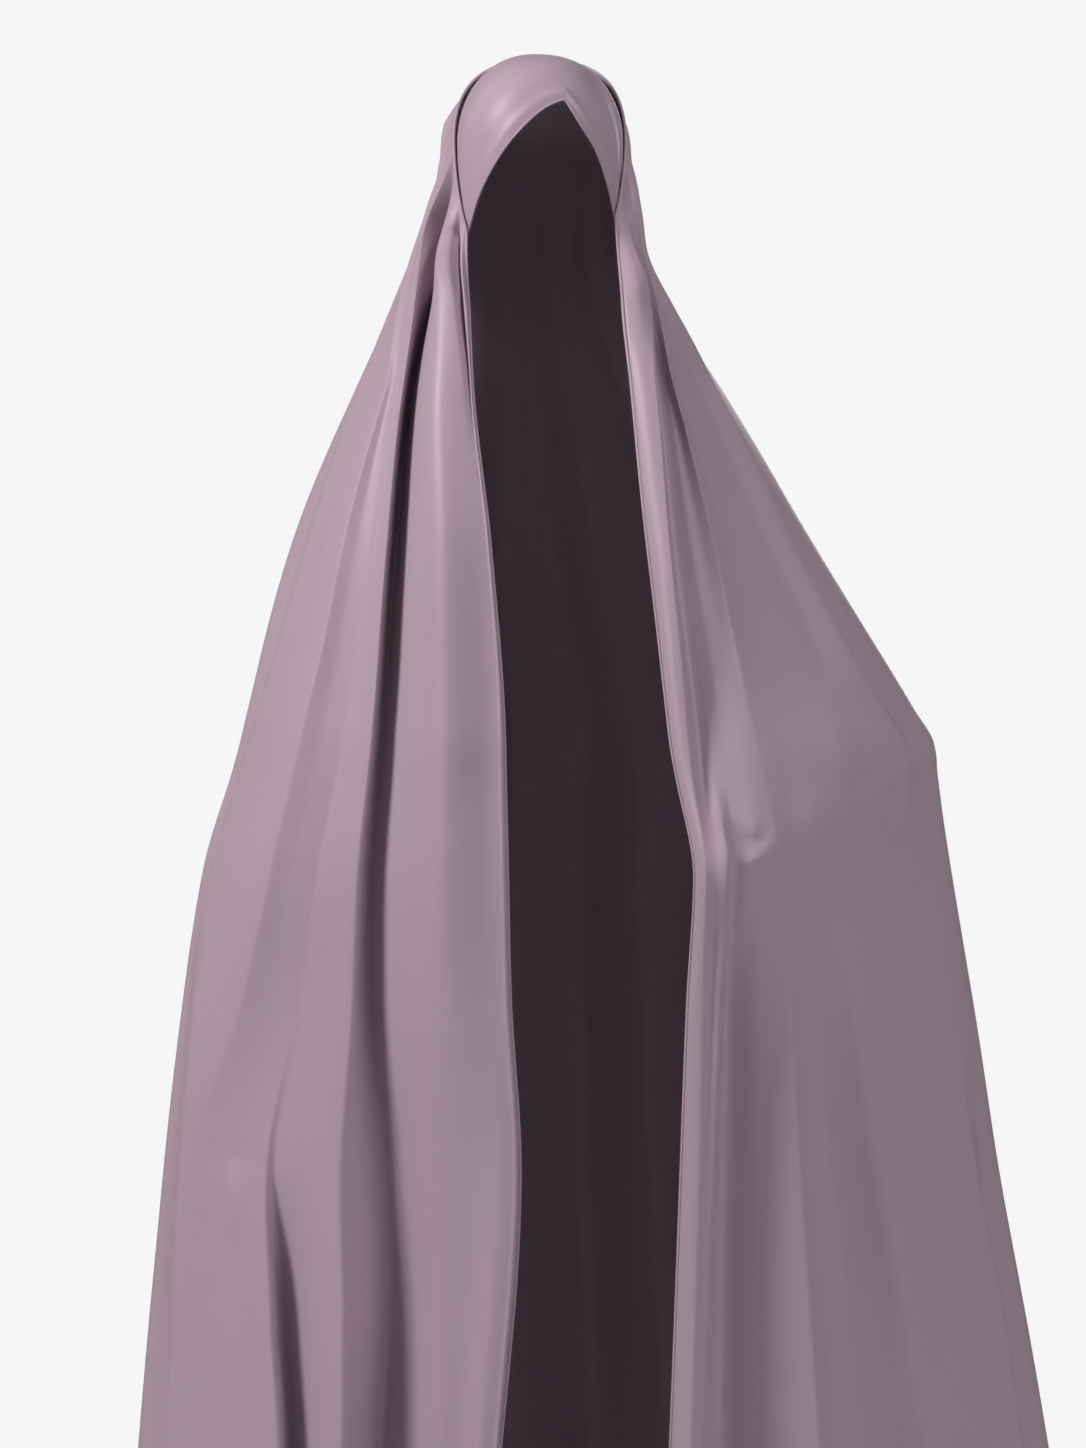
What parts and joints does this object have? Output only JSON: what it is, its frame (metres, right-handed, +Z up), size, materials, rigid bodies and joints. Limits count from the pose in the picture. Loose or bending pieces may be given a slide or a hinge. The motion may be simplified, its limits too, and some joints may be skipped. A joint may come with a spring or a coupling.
{
  "type": "chador",
  "caption": "Floor-length open chador in light crepe: a wide draped mantle that hangs in folds from a fitted headpiece round the face.",
  "frame": {"origin": "where the inside of the crown sits on the top of the head, in the middle of the head from side to side and from front to back", "axes": "+Z up, the front faces -Y, +X to the right as seen from the front"},
  "size_m": [0.9009, 0.517, 1.6584],
  "materials": {
    "crepe": "soft matte mauve crepe with a faint sheen"
  },
  "bodies": {
    "root": {"headpiece": "crepe", "mantle": "crepe"}
  },
  "joints": []
}
